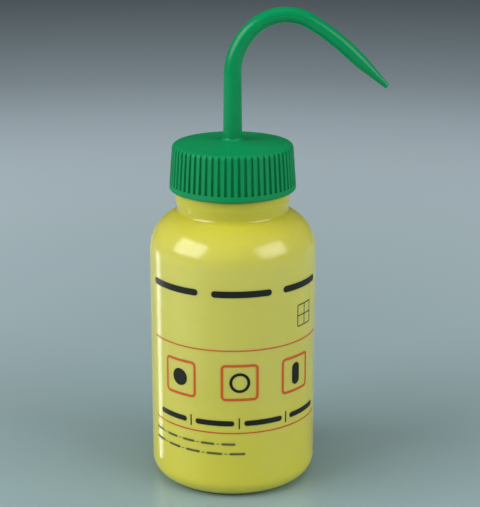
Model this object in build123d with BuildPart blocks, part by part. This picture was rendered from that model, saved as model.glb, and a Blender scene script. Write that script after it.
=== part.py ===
from build123d import *
from math import asin, atan, cos, degrees, radians, sin, sqrt, tan
import os

# A 500 ml wash bottle: a blown bottle, a screw cap moulded in one with its bent
# spout, and a dip tube that plugs into the cap. Millimetres, +Z up. The bottle
# stands on z = 0 with its axis on Z, and the spout bends towards +X.

# Bottle body
body_radius = 38.0
bottle_wall = 1.1
heel_radius = 8.0
shoulder_height = 108.9
shoulder_turn = 55.0
crown_radius = 33.0
crown_reach = 5.17
ring_width = 3.0
base_rise = 2.0
base_slope_width = 2.5
base_fillet = 0.8
seam_length = 42.0
seam_width = 1.0
seam_depth = 0.5

# Bottle neck, from the waist above the shoulder to the rim
waist_groove = 1.2
waist_fillet = 2.0
collar_slope_height = 5.0
collar_slope_fillet = 3.0
collar_step = 2.1
collar_length = 9.3
collar_wall = 1.6
collar_edge_fillet = 0.4
neck_radius = 24.0
neck_length = 18.55
neck_wall = 2.1
neck_slope_height = 3.0
rim_fillet = 0.6

# Screw thread that the neck and the cap share
thread_pitch = 4.0
thread_crest_width = 0.8
thread_flank_width = 0.7
thread_root_bite = 0.15
thread_depth = 1.2
thread_start = 4.7
neck_thread_turns = 2.0
engaged_turns = 1.5
cap_thread_depth = 1.25
cap_thread_lift = 1.75

# Cap
cap_clearance = 0.45
cap_gap = 0.45
cap_wall = 3.15
cap_draft = 1.5
cap_plate = 2.4
cap_dome_rise = 1.9
cap_top_edge = 2.0
cap_bottom_edge = 1.0
cap_mouth_chamfer = 0.5

# Flutes round the cap's skirt
flute_count = 60
flute_width = 1.6
flute_root_width = 0.7
flute_depth = 1.1
flute_top_depth = 0.75
flute_ledge = 2.9

# Sealing lip inside the neck and socket for the dip tube, under the cap
lip_clearance = 0.3
lip_width = 1.2
lip_depth = 4.0
lip_taper = 0.35
socket_wall = 2.1
socket_depth = 12.0
socket_clearance = 0.05

# Dip tube
tube_radius = 3.5
tube_bore_radius = 2.5
tube_seat_gap = 0.1
tube_bend_height = 88.0
tube_bend_radius = 390.0
tube_foot_gap = 2.0
tube_foot_angle = 35.0

# Spout: a straight stem, three arcs, a straight arm and a drawn tip
stem_foot_radius = 4.35
stem_foot_fillet = 1.5
stem_length = 31.0
spout_bends = [(28.5, 50.0), (20.9, 70.8), (101.0, 11.8)]
arm_length = 8.0
tip_length = 16.2
spout_radii = [3.95, 3.65, 3.45, 3.3, 3.1]
spout_bore_radii = [2.3, 2.2, 2.1, 2.1, 2.0]
tip_radius = 1.15
tip_bore_radius = 0.5

def arc_end(centre_x, centre_z, radius, angle):
    """Point on a circle of the section, angle in degrees from +X."""
    return (centre_x + radius * cos(radians(angle)), centre_z + radius * sin(radians(angle)))


# Centres of the body's arcs, and levels that follow from the sizes above

collar_radius = neck_radius + collar_step
waist_radius = collar_radius - waist_groove
shoulder_span = body_radius - waist_radius - crown_reach
shoulder_radius = shoulder_span / (1 - cos(radians(shoulder_turn)))
heel_centre = (body_radius - heel_radius, heel_radius)
shoulder_centre = (body_radius - shoulder_radius, shoulder_height)
crown_centre = arc_end(*shoulder_centre, shoulder_radius - crown_radius, shoulder_turn)


def crown_point(inset, radius):
    """Point at a given radius on the crown's arc, inset from the outer face."""
    rise = sqrt((crown_radius - inset) ** 2 - (radius - crown_centre[0]) ** 2)
    return (radius, crown_centre[1] + rise)


waist = crown_point(0, waist_radius)
collar_foot = (collar_radius, waist[1] + collar_slope_height)
throat = crown_point(bottle_wall, waist_radius - collar_wall)
ring_inner = heel_centre[0] - ring_width
panel_edge = ring_inner - base_slope_width
floor_height = base_rise + bottle_wall
collar_height = waist[1] + collar_length
rim_height = collar_height + neck_length
mouth_radius = neck_radius - neck_wall
neck_thread_base = collar_height + thread_start
cap_bottom = collar_height + cap_gap
cap_underside = rim_height
cap_top = rim_height + cap_plate
cap_height = cap_top - cap_bottom
cap_bore_radius = neck_radius + thread_depth + cap_clearance
cap_bottom_radius = cap_bore_radius + cap_wall
cap_top_radius = cap_bottom_radius - cap_draft
dome_radius = (cap_top_radius ** 2 + cap_dome_rise ** 2) / (2 * cap_dome_rise)
dome_centre_height = cap_top + cap_dome_rise - dome_radius
lip_radius = mouth_radius - lip_clearance
lip_bottom = cap_underside - lip_depth
socket_bore_radius = tube_radius + socket_clearance
socket_radius = socket_bore_radius + socket_wall
socket_bottom = cap_underside - socket_depth
socket_stop = cap_underside + cap_plate / 2
stem_top = cap_top + stem_length
tube_top = socket_stop - tube_seat_gap
tube_foot = floor_height + tube_foot_gap


def body_lines(inset, crown_end):
    """Draw heel, side, shoulder and crown, inset from the outer face."""
    wall = body_radius - inset
    heel = RadiusArc((heel_centre[0], inset), (wall, heel_radius), -(heel_radius - inset))
    side = Line(heel @ 1, (wall, shoulder_height))
    shoulder_arc = shoulder_radius - inset
    shoulder_end = arc_end(*shoulder_centre, shoulder_arc, shoulder_turn)
    shoulder = RadiusArc(side @ 1, shoulder_end, -shoulder_arc)
    RadiusArc(shoulder @ 1, crown_end, -(crown_radius - inset))


def dome_point(inset, radius):
    """Point at a given radius on the cap's domed top, inset from the outer face."""
    rise = sqrt((dome_radius - inset) ** 2 - radius ** 2)
    return (radius, dome_centre_height + rise)


def corners(section, *points):
    """Vertices of a section at the given points, each a radius and a height."""
    return [section.vertices().sort_by_distance((*point, 0))[0] for point in points]


def thread_ridge(base, turns, root_radius, crest_radius, start_angle):
    """One trapezoid ridge wound round Z from root_radius to crest_radius."""
    half_crest = thread_crest_width / 2
    half_root = half_crest + thread_flank_width
    depth = crest_radius - root_radius
    with BuildPart(mode=Mode.PRIVATE) as ridge:
        with BuildLine(Plane.XY.offset(base)):
            turn = Helix(thread_pitch, turns * thread_pitch, root_radius)
        with BuildSketch(Plane(turn @ 0, x_dir=(1, 0, 0), z_dir=turn % 0)):
            with BuildLine():
                Polyline(
                    (0, -half_root),
                    (depth, -half_crest),
                    (depth, half_crest),
                    (0, half_root),
                    close=True,
                )
            make_face()
        sweep(path=turn, is_frenet=True)
    return ridge.part.rotate(Axis.Z, start_angle)


# Thread ridges

neck_ridge = thread_ridge(
    neck_thread_base,
    neck_thread_turns,
    neck_radius - thread_root_bite,
    neck_radius + thread_depth,
    0,
)
cap_thread_base = neck_thread_base + (neck_thread_turns - engaged_turns) * thread_pitch
cap_ridge = thread_ridge(
    cap_thread_base + cap_thread_lift,
    engaged_turns,
    cap_bore_radius + thread_root_bite,
    cap_bore_radius - cap_thread_depth,
    360 * (neck_thread_turns - engaged_turns),
)

# Bottle

with BuildPart() as bottle:
    with BuildSketch(Plane.XZ) as skin:
        with BuildLine():
            body_lines(0, waist)
            Polyline(
                waist,
                collar_foot,
                (collar_radius, collar_height),
                (neck_radius, collar_height),
                (neck_radius, rim_height),
                (0, rim_height),
                (0, base_rise),
                (panel_edge, base_rise),
                (ring_inner, 0),
                (heel_centre[0], 0),
            )
        make_face()
        fillet(corners(skin, waist), waist_fillet)
        fillet(corners(skin, collar_foot), collar_slope_fillet)
        fillet(corners(skin, (collar_radius, collar_height)), collar_edge_fillet)
        fillet(corners(skin, (neck_radius, rim_height)), rim_fillet)
        fillet(corners(skin, (panel_edge, base_rise), (ring_inner, 0)), base_fillet)
    revolve(axis=Axis.Z)
    with BuildSketch(Plane.XZ) as cavity:
        with BuildLine():
            body_lines(bottle_wall, throat)
            Polyline(
                throat,
                (collar_radius - collar_wall, collar_height - collar_wall),
                (mouth_radius, collar_height - collar_wall + neck_slope_height),
                (mouth_radius, rim_height),
                (0, rim_height),
                (0, floor_height),
                (panel_edge, floor_height),
                (ring_inner, bottle_wall),
                (heel_centre[0], bottle_wall),
            )
        make_face()
        fillet(corners(cavity, throat), waist_fillet)
        fillet(corners(cavity, (panel_edge, floor_height)), base_fillet)
    revolve(axis=Axis.Z, mode=Mode.SUBTRACT)
    add(neck_ridge)
    with BuildSketch(Plane.XY.offset(base_rise - seam_depth)):
        SlotOverall(seam_length, seam_width)
    extrude(amount=seam_depth + bottle_wall / 2)

# Centre line of the spout, from the stem's top to where the tip starts

with BuildLine(Plane.XZ) as spout_line:
    heading = 90.0
    point = (0.0, stem_top)
    for bend_radius, bend_angle in spout_bends:
        bend_centre = arc_end(*point, bend_radius, heading - 90)
        bend_end = arc_end(*bend_centre, bend_radius, heading + 90 - bend_angle)
        RadiusArc(point, bend_end, bend_radius)
        heading -= bend_angle
        point = bend_end
    Line(point, arc_end(*point, arm_length, heading))


def across(run, place):
    """Plane square to the spout's centre line at the start or end of a run."""
    return Plane(run @ place, x_dir=(0, 1, 0), z_dir=run % place)


def spout_run(radii, end_radius):
    """Round rod along the spout, one radius for each join, drawn down at the tip."""
    runs = spout_line.edges().sort_by(spout_line.wires()[0])
    with BuildPart(mode=Mode.PRIVATE) as rod:
        for run, first, last in zip(runs, radii, radii[1:]):
            with BuildSketch(across(run, 0)) as start:
                Circle(first)
            with BuildSketch(across(run, 1)) as end:
                Circle(last)
            sweep(sections=[start.sketch, end.sketch], path=run, multisection=True)
        with BuildSketch(across(runs[-1], 1)) as tip_start:
            Circle(radii[-1])
        with BuildSketch(across(runs[-1], 1).offset(tip_length)) as tip_end:
            Circle(end_radius)
        loft(sections=[tip_start.sketch, tip_end.sketch])
    return rod.part


spout_rod = spout_run(spout_radii, tip_radius)
spout_bore = spout_run(spout_bore_radii, tip_bore_radius)

# Cutter for one flute: a tapered groove along the leaning skirt, from the ledge up
# and out through the rounded top edge, shallower there, where it ends in a small arch

ledge_radius = cap_bottom_radius - cap_draft * flute_ledge / cap_height
flute_inward_run = ledge_radius - flute_depth - (cap_top_radius - flute_top_depth)
flute_lean = atan(flute_inward_run / (cap_height - flute_ledge))
flute_foot = (ledge_radius, 0, cap_bottom + flute_ledge)
flute_mouth = flute_width / 2 + (flute_width - flute_root_width) / 2
with BuildPart() as flute:
    with BuildSketch(Plane(flute_foot, x_dir=(0, 1, 0), z_dir=(-sin(flute_lean), 0, cos(flute_lean)))):
        with BuildLine():
            Polyline(
                (-flute_root_width / 2, flute_depth),
                (flute_root_width / 2, flute_depth),
                (flute_mouth, -flute_depth),
                (-flute_mouth, -flute_depth),
                close=True,
            )
        make_face()
    extrude(amount=cap_height)

# Cap with its spout, its top a shallow dome of even wall

cap_rim = (cap_top_radius, cap_top)
stem_foot = dome_point(0, stem_foot_radius)
socket_root = dome_point(cap_plate, socket_radius)
lip_root = dome_point(cap_plate, lip_radius - lip_width)
with BuildPart() as spout_cap:
    with BuildSketch(Plane.XZ) as shell:
        with BuildLine():
            RadiusArc(cap_rim, stem_foot, -dome_radius)
            Polyline(
                stem_foot,
                (spout_radii[0], stem_top),
                (spout_bore_radii[0], stem_top),
                (spout_bore_radii[0], socket_stop),
                (socket_bore_radius, socket_stop),
                (socket_bore_radius, socket_bottom),
                (socket_radius, socket_bottom),
                socket_root,
            )
            RadiusArc(socket_root, lip_root, dome_radius - cap_plate)
            Polyline(
                lip_root,
                (lip_radius - lip_width, lip_bottom),
                (lip_radius - lip_taper, lip_bottom),
                (lip_radius, cap_underside),
                (cap_bore_radius, cap_underside),
                (cap_bore_radius, cap_bottom),
                (cap_bottom_radius, cap_bottom),
                cap_rim,
            )
        make_face()
        fillet(corners(shell, cap_rim), cap_top_edge)
        fillet(corners(shell, stem_foot), stem_foot_fillet)
        fillet(corners(shell, (cap_bottom_radius, cap_bottom)), cap_bottom_edge)
        chamfer(corners(shell, (cap_bore_radius, cap_bottom)), cap_mouth_chamfer)
    revolve(axis=Axis.Z)
    add(cap_ridge)
    with PolarLocations(0, flute_count):
        add(flute.part, mode=Mode.SUBTRACT)
    add(spout_rod)
    add(spout_bore, mode=Mode.SUBTRACT)

# Dip tube, straight from the socket and then leaning towards -X, cut off on the slant

tube_centre = (-tube_bend_radius, tube_bend_height)
tube_turn = degrees(asin((tube_bend_height - tube_foot) / tube_bend_radius))
foot_height = tube_foot + tube_radius * tan(radians(tube_foot_angle))
foot_turn = degrees(asin((tube_bend_height - foot_height) / tube_bend_radius))
foot_x, foot_z = arc_end(*tube_centre, tube_bend_radius, -foot_turn)
foot_slant = (sin(radians(tube_foot_angle)), 0, cos(radians(tube_foot_angle)))
with BuildPart() as dip_tube:
    with BuildLine(Plane.XZ) as tube_line:
        drop = Line((0, tube_top), (0, tube_bend_height))
        RadiusArc(drop @ 1, arc_end(*tube_centre, tube_bend_radius, -tube_turn), tube_bend_radius)
    with BuildSketch(Plane.XY.offset(tube_top)):
        Circle(tube_radius)
        Circle(tube_bore_radius, mode=Mode.SUBTRACT)
    sweep(path=tube_line.wires()[0])
    split(bisect_by=Plane((foot_x, 0, foot_z), z_dir=foot_slant), keep=Keep.TOP)

bottle.part.label = "bottle"
spout_cap.part.label = "spout_cap"
dip_tube.part.label = "dip_tube"

os.makedirs("parts", exist_ok=True)
export_step(bottle.part, "parts/bottle.step")
export_step(spout_cap.part, "parts/spout_cap.step")
export_step(dip_tube.part, "parts/dip_tube.step")
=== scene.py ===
import bmesh
import bpy
from math import ceil, cos, floor, pi, radians, sin, tau
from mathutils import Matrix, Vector


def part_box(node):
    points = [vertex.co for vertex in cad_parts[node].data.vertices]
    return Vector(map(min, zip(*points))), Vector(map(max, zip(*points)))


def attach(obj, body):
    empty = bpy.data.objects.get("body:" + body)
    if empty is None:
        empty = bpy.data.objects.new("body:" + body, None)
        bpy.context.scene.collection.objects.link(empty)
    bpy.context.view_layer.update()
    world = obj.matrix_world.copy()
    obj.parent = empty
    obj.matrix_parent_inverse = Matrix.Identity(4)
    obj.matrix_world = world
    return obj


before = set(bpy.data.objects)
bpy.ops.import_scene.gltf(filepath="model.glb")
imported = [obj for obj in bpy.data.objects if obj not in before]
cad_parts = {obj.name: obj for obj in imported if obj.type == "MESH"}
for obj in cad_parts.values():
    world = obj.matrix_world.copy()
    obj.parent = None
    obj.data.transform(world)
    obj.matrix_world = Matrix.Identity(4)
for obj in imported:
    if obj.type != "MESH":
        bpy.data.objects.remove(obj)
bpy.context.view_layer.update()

# Bottle
# One shell of yellow low-density polyethylene about a millimetre thick, extrusion blow
# moulded with its screw neck. The wall lets light soak in, so its shade stays soft.

MM = 0.001


def linear(hex_colour):
    """sRGB hex colour to the linear RGBA that a shader takes."""
    channels = [int(hex_colour[i:i + 2], 16) / 255 for i in (1, 3, 5)]
    return [c / 12.92 if c <= 0.04045 else ((c + 0.055) / 1.055) ** 2.4 for c in channels] + [1.0]


def per_metre(size_mm):
    """Texture scale at which one cell of the pattern is size_mm wide."""
    return 1 / (size_mm * MM)


def new_material(name):
    """A material with an empty node tree."""
    material = bpy.data.materials.new(name)
    material.use_nodes = True
    material.node_tree.nodes.clear()
    return material


def add_node(material, kind, links=None, values=None, **settings):
    """Add a node with its settings, fixed socket values and links from other outputs."""
    node = material.node_tree.nodes.new(kind)
    for setting, value in settings.items():
        setattr(node, setting, value)
    for socket, value in (values or {}).items():
        node.inputs[socket].default_value = value
    for socket, output in (links or {}).items():
        material.node_tree.links.new(output, node.inputs[socket])
    return node


# Blown polyethylene: the outside sets against a polished mould, so it is glossy but
# never quite flat, with long ripples, fine lines drawn by the die and a soft orange
# peel. The yellow near the neck is darker, a painted shade under the cap, and the yellow
# at the foot is brighter and deeper, a painted glow of light through the wall.

wall_yellow = linear("#E2DB68")
wall_yellow_dense = linear("#D9D15A")
# The neck colour is painted shade under the cap; the foot colour is a painted glow.
neck_painted_shade_yellow = linear("#CEC72A")
foot_painted_glow_yellow = linear("#EADE46")
cloud_size = 26
die_line_width = 1.6
ripple_size = 14
peel_size = 1.1
foot_painted_glow_levels = (8 * MM, 62 * MM)
neck_painted_shade_levels = (112 * MM, 134 * MM)

blown_polyethylene = new_material("blown_yellow_polyethylene")
place = add_node(blown_polyethylene, "ShaderNodeTexCoord").outputs["Object"]
clouds = add_node(
    blown_polyethylene,
    "ShaderNodeTexNoise",
    {"Vector": place},
    {"Scale": per_metre(cloud_size), "Detail": 3.0, "Roughness": 0.6},
)
wall_colour = add_node(
    blown_polyethylene,
    "ShaderNodeMix",
    {"Factor": clouds.outputs["Fac"]},
    {"A": wall_yellow, "B": wall_yellow_dense},
    data_type="RGBA",
)
height = add_node(blown_polyethylene, "ShaderNodeSeparateXYZ", {"Vector": place}).outputs["Z"]
# Painted glow, strongest at the foot.
foot_painted_glow_share = add_node(
    blown_polyethylene,
    "ShaderNodeMapRange",
    {"Value": height},
    {"From Min": foot_painted_glow_levels[1], "From Max": foot_painted_glow_levels[0]},
)
wall_and_painted_glow_colour = add_node(
    blown_polyethylene,
    "ShaderNodeMix",
    {"Factor": foot_painted_glow_share.outputs["Result"], "A": wall_colour.outputs["Result"]},
    {"B": foot_painted_glow_yellow},
    data_type="RGBA",
)
# Painted shade under the cap, strongest at the neck.
neck_painted_shade_share = add_node(
    blown_polyethylene,
    "ShaderNodeMapRange",
    {"Value": height},
    {"From Min": neck_painted_shade_levels[0], "From Max": neck_painted_shade_levels[1]},
    interpolation_type="SMOOTHSTEP",
)
wall_colour_with_painted_light = add_node(
    blown_polyethylene,
    "ShaderNodeMix",
    {"Factor": neck_painted_shade_share.outputs["Result"], "A": wall_and_painted_glow_colour.outputs["Result"]},
    {"B": neck_painted_shade_yellow},
    data_type="RGBA",
)
drawn = add_node(
    blown_polyethylene,
    "ShaderNodeVectorMath",
    {0: place},
    {1: (1.0, 1.0, 0.02)},
    operation="MULTIPLY",
)
die_lines = add_node(
    blown_polyethylene,
    "ShaderNodeTexNoise",
    {"Vector": drawn.outputs["Vector"]},
    {"Scale": per_metre(die_line_width), "Detail": 2.0},
)
ripples = add_node(
    blown_polyethylene,
    "ShaderNodeTexNoise",
    {"Vector": place},
    {"Scale": per_metre(ripple_size), "Detail": 1.0},
)
peel = add_node(
    blown_polyethylene,
    "ShaderNodeTexNoise",
    {"Vector": place},
    {"Scale": per_metre(peel_size), "Detail": 2.0},
)
gloss = add_node(
    blown_polyethylene,
    "ShaderNodeMapRange",
    {"Value": clouds.outputs["Fac"]},
    {"From Min": 0.3, "From Max": 0.7, "To Min": 0.15, "To Max": 0.21},
)
ripple_bump = add_node(
    blown_polyethylene,
    "ShaderNodeBump",
    {"Height": ripples.outputs["Fac"]},
    {"Strength": 0.35, "Distance": 0.25 * MM},
)
line_bump = add_node(
    blown_polyethylene,
    "ShaderNodeBump",
    {"Height": die_lines.outputs["Fac"], "Normal": ripple_bump.outputs["Normal"]},
    {"Strength": 0.2, "Distance": 0.02 * MM},
)
peel_bump = add_node(
    blown_polyethylene,
    "ShaderNodeBump",
    {"Height": peel.outputs["Fac"], "Normal": line_bump.outputs["Normal"]},
    {"Strength": 0.2, "Distance": 0.015 * MM},
)
surface = add_node(
    blown_polyethylene,
    "ShaderNodeBsdfPrincipled",
    {
        "Base Color": wall_colour_with_painted_light.outputs["Result"],
        "Roughness": gloss.outputs["Result"],
        "Normal": peel_bump.outputs["Normal"],
    },
    {
        "IOR": 1.51,
        "Specular IOR Level": 0.6,
        "Subsurface Weight": 1.0,
        "Subsurface Radius": (1.0, 0.95, 0.5),
        "Subsurface Scale": 2.5 * MM,
        "Sheen Weight": 0.2,
        "Sheen Roughness": 0.6,
        "Sheen Tint": linear("#F4EC9A"),
    },
)
add_node(blown_polyethylene, "ShaderNodeOutputMaterial", {"Surface": surface.outputs["BSDF"]})

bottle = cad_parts["bottle"]
bottle.data.materials.clear()
bottle.data.materials.append(blown_polyethylene)

# Rule lines
# Two thin orange lines round the front of the body, above and below the row of squares.
# They are screen printed straight onto the plastic, as all the print is.

wall_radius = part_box("bottle")[1].x
print_centre = radians(4.9)
film_thickness = 0.06 * MM
wrap_step = 1.5
rule_start = -47.4
rule_end = 49.1
rule_width = 0.55
rule_heights = (32.4, 71.7)
print_pieces = []


def rectangle(left, right, bottom, top):
    """One flat loop, with distance along the wall and height in millimetres."""
    return [[(left, bottom), (right, bottom), (right, top), (left, top)]]


def printed(name, ink, shapes):
    """Ink film made from flat loops, wrapped round the wall and raised by its thickness."""
    film = bmesh.new()
    for loop in shapes:
        film.faces.new([film.verts.new((along, 0, up)) for along, up in loop])
    bmesh.ops.remove_doubles(film, verts=film.verts, dist=0.001)
    left = min(vert.co.x for vert in film.verts)
    right = max(vert.co.x for vert in film.verts)
    for step in range(ceil(left / wrap_step), floor(right / wrap_step) + 1):
        everything = film.verts[:] + film.edges[:] + film.faces[:]
        cut = (step * wrap_step, 0, 0)
        bmesh.ops.bisect_plane(film, geom=everything, plane_co=cut, plane_no=(1, 0, 0))
    raised = bmesh.ops.extrude_face_region(film, geom=film.faces[:])["geom"]
    outer = {part for part in raised if isinstance(part, bmesh.types.BMVert)}
    for vert in film.verts:
        radius = wall_radius + (film_thickness if vert in outer else 0)
        angle = print_centre + vert.co.x * MM / wall_radius
        vert.co = (radius * sin(angle), -radius * cos(angle), vert.co.z * MM)
    bmesh.ops.recalc_face_normals(film, faces=film.faces)
    mesh = bpy.data.meshes.new(name)
    film.to_mesh(mesh)
    film.free()
    mesh.materials.append(ink)
    piece = bpy.data.objects.new(name, mesh)
    bpy.context.scene.collection.objects.link(piece)
    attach(piece, "bottle")
    print_pieces.append(piece)


def printing_ink(name, solid, thin):
    """Screen ink: satin, with the mesh's faint grain and slightly uneven cover."""
    ink = new_material(name)
    place = add_node(ink, "ShaderNodeTexCoord").outputs["Object"]
    cover = add_node(
        ink,
        "ShaderNodeTexNoise",
        {"Vector": place},
        {"Scale": per_metre(2.5), "Detail": 3.0},
    )
    colour = add_node(
        ink,
        "ShaderNodeMix",
        {"Factor": cover.outputs["Fac"]},
        {"A": linear(solid), "B": linear(thin)},
        data_type="RGBA",
    )
    grain = add_node(
        ink,
        "ShaderNodeTexNoise",
        {"Vector": place},
        {"Scale": per_metre(0.3), "Detail": 1.0},
    )
    bump = add_node(
        ink,
        "ShaderNodeBump",
        {"Height": grain.outputs["Fac"]},
        {"Strength": 0.3, "Distance": 0.01 * MM},
    )
    surface = add_node(
        ink,
        "ShaderNodeBsdfPrincipled",
        {"Base Color": colour.outputs["Result"], "Normal": bump.outputs["Normal"]},
        {"Roughness": 0.45, "IOR": 1.5, "Specular IOR Level": 0.3},
    )
    add_node(ink, "ShaderNodeOutputMaterial", {"Surface": surface.outputs["BSDF"]})
    return ink


orange_ink = printing_ink("screen_printed_orange_ink", "#D65518", "#E06828")
rules = []
for rule_height in rule_heights:
    rules += rectangle(rule_start, rule_end, rule_height, rule_height + rule_width)
printed("rule_lines", orange_ink, rules)

# Upper bars
# Three plain dark bars in a row round the front, under the shoulder. They are solid
# blocks of the dark screen ink, with round ends.

bar_corner_steps = 6
upper_bar_spans = ((-47.4, -19.1), (-12.7, 14.7), (20.8, 45.5))
upper_bar_height = 98.2
upper_bar_width = 3.0


def rounded_box(centre, half_width, half_height, corner, steps=bar_corner_steps):
    """Corner points of a box with round corners, anticlockwise from its right side."""
    points = []
    for quarter, (side, level) in enumerate(((1, -1), (1, 1), (-1, 1), (-1, -1))):
        for step in range(steps + 1):
            angle = tau * (quarter - 1 + step / steps) / 4
            along = centre[0] + side * (half_width - corner) + corner * cos(angle)
            up = centre[1] + level * (half_height - corner) + corner * sin(angle)
            points.append((along, up))
    return points


def bar(left, right, height, width):
    """A bar with round ends."""
    centre = ((left + right) / 2, height)
    return [rounded_box(centre, (right - left) / 2, width / 2, 0.49 * width)]


dark_ink = printing_ink("screen_printed_dark_ink", "#12150B", "#1D2012")
upper_bars = []
for left, right in upper_bar_spans:
    upper_bars += bar(left, right, upper_bar_height, upper_bar_width)
printed("upper_bars", dark_ink, upper_bars)

# Squares
# Three orange outlines between the two lines, each round one plain dark shape. The
# orange and the dark are two passes of the screen, so they never touch.

square_pitch = 28.9
square_height = 56.9
square_half = 8.6
square_line = 1.15
square_corner = 2.2


def band(outer, inner):
    """Quads between two loops of as many points."""
    count = len(outer)
    return [[outer[i], outer[(i + 1) % count], inner[(i + 1) % count], inner[i]] for i in range(count)]


def box_outline(centre, half_width, half_height, corner, line):
    """A rounded outline as wide as the line."""
    outer = rounded_box(centre, half_width, half_height, corner)
    inner = rounded_box(centre, half_width - line, half_height - line, corner - line)
    return band(outer, inner)


def circle(centre, radius, steps=40):
    """A round loop, anticlockwise."""
    turns = [tau * step / steps for step in range(steps)]
    return [(centre[0] + radius * cos(turn), centre[1] + radius * sin(turn)) for turn in turns]


outlines = []
for place_in_row in (-1, 0, 1):
    centre = (place_in_row * square_pitch, square_height)
    outlines += box_outline(centre, square_half, square_half, square_corner, square_line)
printed("square_outlines", orange_ink, outlines)

disc_centre = (-square_pitch, square_height)
ring_centre = (0, square_height)
post_centre = (square_pitch, square_height)
marks = [circle(disc_centre, 4.0)]
marks += band(circle(ring_centre, 4.7), circle(ring_centre, 3.4))
marks += [rounded_box(post_centre, 2.4, 5.2, 2.3)]
printed("square_marks", dark_ink, marks)

# Foot bars
# Four dark bars with upright strokes between them, under the row of squares. They are
# printed in the same pass as the upper bars.

foot_bar_spans = ((-42.0, -25.2), (-20.6, -2.5), (2.0, 20.5), (25.0, 44.4))
foot_bar_height = 37.4
foot_bar_width = 2.5
stroke_places = (-22.9, -0.25, 22.75)
stroke_width = 0.55
stroke_half_height = 2.6

foot_bars = []
for left, right in foot_bar_spans:
    foot_bars += bar(left, right, foot_bar_height, foot_bar_width)
for along in stroke_places:
    bottom = foot_bar_height - stroke_half_height
    top = foot_bar_height + stroke_half_height
    foot_bars += rectangle(along - stroke_width / 2, along + stroke_width / 2, bottom, top)
printed("foot_bars", dark_ink, foot_bars)

# Small grid
# Two by two empty cells in thin dark lines, high on the right. It belongs to the dark
# pass too.

grid_centre = (35.1, 83.8)
grid_half = 5.2
grid_line = 0.4

grid = box_outline(grid_centre, grid_half, grid_half, 0.6, grid_line)
grid += rectangle(
    grid_centre[0] - grid_line / 2,
    grid_centre[0] + grid_line / 2,
    grid_centre[1] - grid_half + grid_line / 2,
    grid_centre[1] + grid_half - grid_line / 2,
)
printed("grid", dark_ink, grid)
grid_bar = rectangle(
    grid_centre[0] - grid_half + grid_line / 2,
    grid_centre[0] + grid_half - grid_line / 2,
    grid_centre[1] - grid_line / 2,
    grid_centre[1] + grid_line / 2,
)
printed("grid_bar", dark_ink, grid_bar)

# Fine rows
# Two rows of small bars and dashes near the foot, on the left. The ink goes on so thin
# that the yellow turns it grey.

grey_ink = printing_ink("screen_printed_grey_ink", "#5C5E2C", "#6E7036")
fine_row_heights = (27.3, 22.6)
fine_row_starts = (-46.8, -46.8)
fine_row_ends = (-2.0, 2.5)
fine_bars_in_row = 5
fine_bar_width = 1.05
dash_length = 1.3
dash_width = 0.35

fine_rows = []
for row_height, row_start, row_end in zip(fine_row_heights, fine_row_starts, fine_row_ends):
    dash_room = 3.2
    bar_length = (row_end - row_start - (fine_bars_in_row - 1) * dash_room) / fine_bars_in_row
    for number in range(fine_bars_in_row):
        left = row_start + number * (bar_length + dash_room)
        fine_rows += bar(left, left + bar_length, row_height, fine_bar_width)
        if number > 0:
            dash = left - dash_room / 2
            fine_rows += rectangle(
                dash - dash_length / 2,
                dash + dash_length / 2,
                row_height - dash_width / 2,
                row_height + dash_width / 2,
            )
printed("fine_rows", grey_ink, fine_rows)

# Spout cap
# The screw cap and its bent spout are one injection moulding in green polyethylene. The
# mould is fine blasted, which gives the satin sheen, and the spout comes out smoother.

cap_green = linear("#009557")
cap_green_deep = linear("#00894F")
flow_size = 9
blast_size = 0.35
polish_start = 158.5 * MM
polish_end = 161 * MM

moulded_green = new_material("moulded_green_polyethylene")
place = add_node(moulded_green, "ShaderNodeTexCoord").outputs["Object"]
flow = add_node(
    moulded_green,
    "ShaderNodeTexNoise",
    {"Vector": place},
    {"Scale": per_metre(flow_size), "Detail": 4.0},
)
cap_colour = add_node(
    moulded_green,
    "ShaderNodeMix",
    {"Factor": flow.outputs["Fac"]},
    {"A": cap_green, "B": cap_green_deep},
    data_type="RGBA",
)
height = add_node(moulded_green, "ShaderNodeSeparateXYZ", {"Vector": place}).outputs["Z"]
polish = add_node(
    moulded_green,
    "ShaderNodeMapRange",
    {"Value": height},
    {"From Min": polish_start, "From Max": polish_end, "To Min": 0.46, "To Max": 0.2},
)
cap_gloss = add_node(
    moulded_green,
    "ShaderNodeMath",
    {0: flow.outputs["Fac"], 2: polish.outputs["Result"]},
    {1: 0.08},
    operation="MULTIPLY_ADD",
)
blast = add_node(
    moulded_green,
    "ShaderNodeTexNoise",
    {"Vector": place},
    {"Scale": per_metre(blast_size), "Detail": 2.0},
)
blast_bump = add_node(
    moulded_green,
    "ShaderNodeBump",
    {"Height": blast.outputs["Fac"]},
    {"Strength": 0.25, "Distance": 0.012 * MM},
)
surface = add_node(
    moulded_green,
    "ShaderNodeBsdfPrincipled",
    {
        "Base Color": cap_colour.outputs["Result"],
        "Roughness": cap_gloss.outputs["Value"],
        "Normal": blast_bump.outputs["Normal"],
    },
    {"IOR": 1.51, "Specular IOR Level": 0.22},
)
add_node(moulded_green, "ShaderNodeOutputMaterial", {"Surface": surface.outputs["BSDF"]})

spout_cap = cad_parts["spout_cap"]
spout_cap.data.materials.clear()
spout_cap.data.materials.append(moulded_green)

# Dip tube
# Extruded tube of uncoloured low-density polyethylene, milky and satin, with fine lines
# along it from the die. It plugs into the cap and shows only through the wall.

tube_milky = linear("#F4F5EA")
tube_milky_dense = linear("#E9EBDD")

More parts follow.
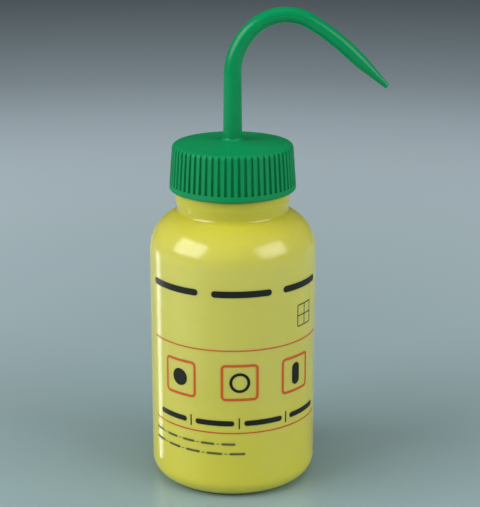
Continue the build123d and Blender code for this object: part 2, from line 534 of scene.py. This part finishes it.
extruded_natural = new_material("extruded_natural_polyethylene")
place = add_node(extruded_natural, "ShaderNodeTexCoord").outputs["Object"]
drawn = add_node(
    extruded_natural,
    "ShaderNodeVectorMath",
    {0: place},
    {1: (1.0, 1.0, 0.03)},
    operation="MULTIPLY",
)
tube_lines = add_node(
    extruded_natural,
    "ShaderNodeTexNoise",
    {"Vector": drawn.outputs["Vector"]},
    {"Scale": per_metre(0.8), "Detail": 2.0},
)
tube_colour = add_node(
    extruded_natural,
    "ShaderNodeMix",
    {"Factor": tube_lines.outputs["Fac"]},
    {"A": tube_milky, "B": tube_milky_dense},
    data_type="RGBA",
)
tube_bump = add_node(
    extruded_natural,
    "ShaderNodeBump",
    {"Height": tube_lines.outputs["Fac"]},
    {"Strength": 0.3, "Distance": 0.02 * MM},
)
surface = add_node(
    extruded_natural,
    "ShaderNodeBsdfPrincipled",
    {"Base Color": tube_colour.outputs["Result"], "Normal": tube_bump.outputs["Normal"]},
    {"Roughness": 0.25, "IOR": 1.51},
)
add_node(extruded_natural, "ShaderNodeOutputMaterial", {"Surface": surface.outputs["BSDF"]})

dip_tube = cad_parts["dip_tube"]
dip_tube.data.materials.clear()
dip_tube.data.materials.append(extruded_natural)

# Table
# A wide pale blue-grey sheet with a soft gloss. Its colour is painted light and shade:
# darker close round the bottle, lighter further out and then falling off all round, a painted pool of
# light.

table_half = 6.0
# Painted light and shade, by distance from the bottle.
table_painted_light_colours = (
    (0.0, "#869FA1"),
    (0.10, "#A0B6BA"),
    (0.25, "#C6DAE1"),
    (0.38, "#DDEEF8"),
    (0.55, "#BDD0DA"),
    (1.0, "#7F929C"),
)
table_reach = 1.9

table_sheet = new_material("satin_blue_grey_acrylic")
place = add_node(table_sheet, "ShaderNodeTexCoord").outputs["Object"]
distance = add_node(table_sheet, "ShaderNodeVectorMath", {0: place}, operation="LENGTH")
spread = add_node(
    table_sheet,
    "ShaderNodeMapRange",
    {"Value": distance.outputs["Value"]},
    {"From Max": table_reach},
)
# The painted pool of light on the table.
pool = add_node(table_sheet, "ShaderNodeValToRGB", {"Fac": spread.outputs["Result"]})
pool.color_ramp.interpolation = "B_SPLINE"
while len(pool.color_ramp.elements) < len(table_painted_light_colours):
    pool.color_ramp.elements.new(0.5)
for element, (position, colour) in zip(pool.color_ramp.elements, table_painted_light_colours):
    element.position = position
    element.color = linear(colour)
surface = add_node(
    table_sheet,
    "ShaderNodeBsdfPrincipled",
    {"Base Color": pool.outputs["Color"]},
    {"Roughness": 0.22, "IOR": 1.45},
)
add_node(table_sheet, "ShaderNodeOutputMaterial", {"Surface": surface.outputs["BSDF"]})

corners = [(-table_half, -table_half, 0), (table_half, -table_half, 0)]
corners += [(table_half, table_half, 0), (-table_half, table_half, 0)]
table_mesh = bpy.data.meshes.new("table")
table_mesh.from_pydata(corners, [], [(0, 1, 2, 3)])
table_mesh.materials.append(table_sheet)
table = bpy.data.objects.new("table", table_mesh)
bpy.context.scene.collection.objects.link(table)

# Lamps
# A large soft box on the left, a weaker one on the right, a soft fill above, and a narrow
# upright strip close beside the wall on the left, which only shows as a bright line there.

aim = Vector((0, 0, 0.118))
strip_width = 0.006
strip_height = 0.108
strip_distance = 0.055
strip_facing = Vector((-0.8, 0.6, 0))
strip_centre = Vector((0, 0, strip_height / 2))


def lamp(name, azimuth, elevation, distance, width, height, brightness, target=aim):
    """Soft box at an azimuth from the front, positive to the right, in degrees and metres."""
    turn = radians(azimuth)
    lift = radians(elevation)
    way = Vector((sin(turn) * cos(lift), -cos(turn) * cos(lift), sin(lift)))
    data = bpy.data.lights.new(name, "AREA")
    data.shape = "RECTANGLE"
    data.size = width
    data.size_y = height
    data.energy = brightness * pi * width * height
    box = bpy.data.objects.new(name, data)
    box.location = target + way * distance
    box.rotation_euler = way.to_track_quat("Z", "Y").to_euler()
    box.visible_camera = False
    bpy.context.scene.collection.objects.link(box)
    return box


lamp("left_soft_box", -67, 28, 1.4, 1.14, 0.91, 4.8)
lamp("right_soft_box", 61, 27, 1.4, 1.0, 0.8, 3.8)
top_fill = lamp("top_fill", 0, 80, 1.6, 1.2, 1.2, 1.8)
top_fill.visible_glossy = False
strip = lamp("left_strip", -87, 0, strip_distance, strip_width, strip_height, 3.3, strip_centre)
strip.rotation_euler = strip_facing.to_track_quat("Z", "Y").to_euler()
strip.visible_diffuse = False
strip_sees = bpy.data.collections.new("strip_sees")
for piece in [bottle] + print_pieces:
    strip_sees.objects.link(piece)
strip.light_linking.receiver_collection = strip_sees

world = bpy.data.worlds.new("studio")
world.use_nodes = True
world.node_tree.nodes.clear()
room_light = linear("#D9DCDC")
room_strength = 0.28
room_reflected = 0.06
ray = add_node(world, "ShaderNodeLightPath")
brightness = add_node(
    world,
    "ShaderNodeMapRange",
    {"Value": ray.outputs["Is Glossy Ray"]},
    {"To Min": room_strength, "To Max": room_reflected},
)
room = add_node(
    world,
    "ShaderNodeBackground",
    {"Strength": brightness.outputs["Result"]},
    {"Color": room_light},
)
add_node(world, "ShaderNodeOutputWorld", {"Surface": room.outputs["Background"]})
bpy.context.scene.world = world

# Camera
# At the height and angle of the photo, with a longish lens.

picture_height = 507
focal_length = 1500
sensor_width = 36
camera_place = (0.0033, -0.6602, 0.3037)
camera_pitch = 16.69

camera_data = bpy.data.cameras.new("camera")
camera_data.sensor_width = sensor_width
camera_data.lens = sensor_width * focal_length / picture_height
camera_data.clip_start = 0.01
camera = bpy.data.objects.new("camera", camera_data)
camera.location = camera_place
camera.rotation_euler = (radians(90 - camera_pitch), 0, 0)
bpy.context.scene.collection.objects.link(camera)
bpy.context.scene.camera = camera
bpy.context.scene.view_settings.view_transform = "Standard"
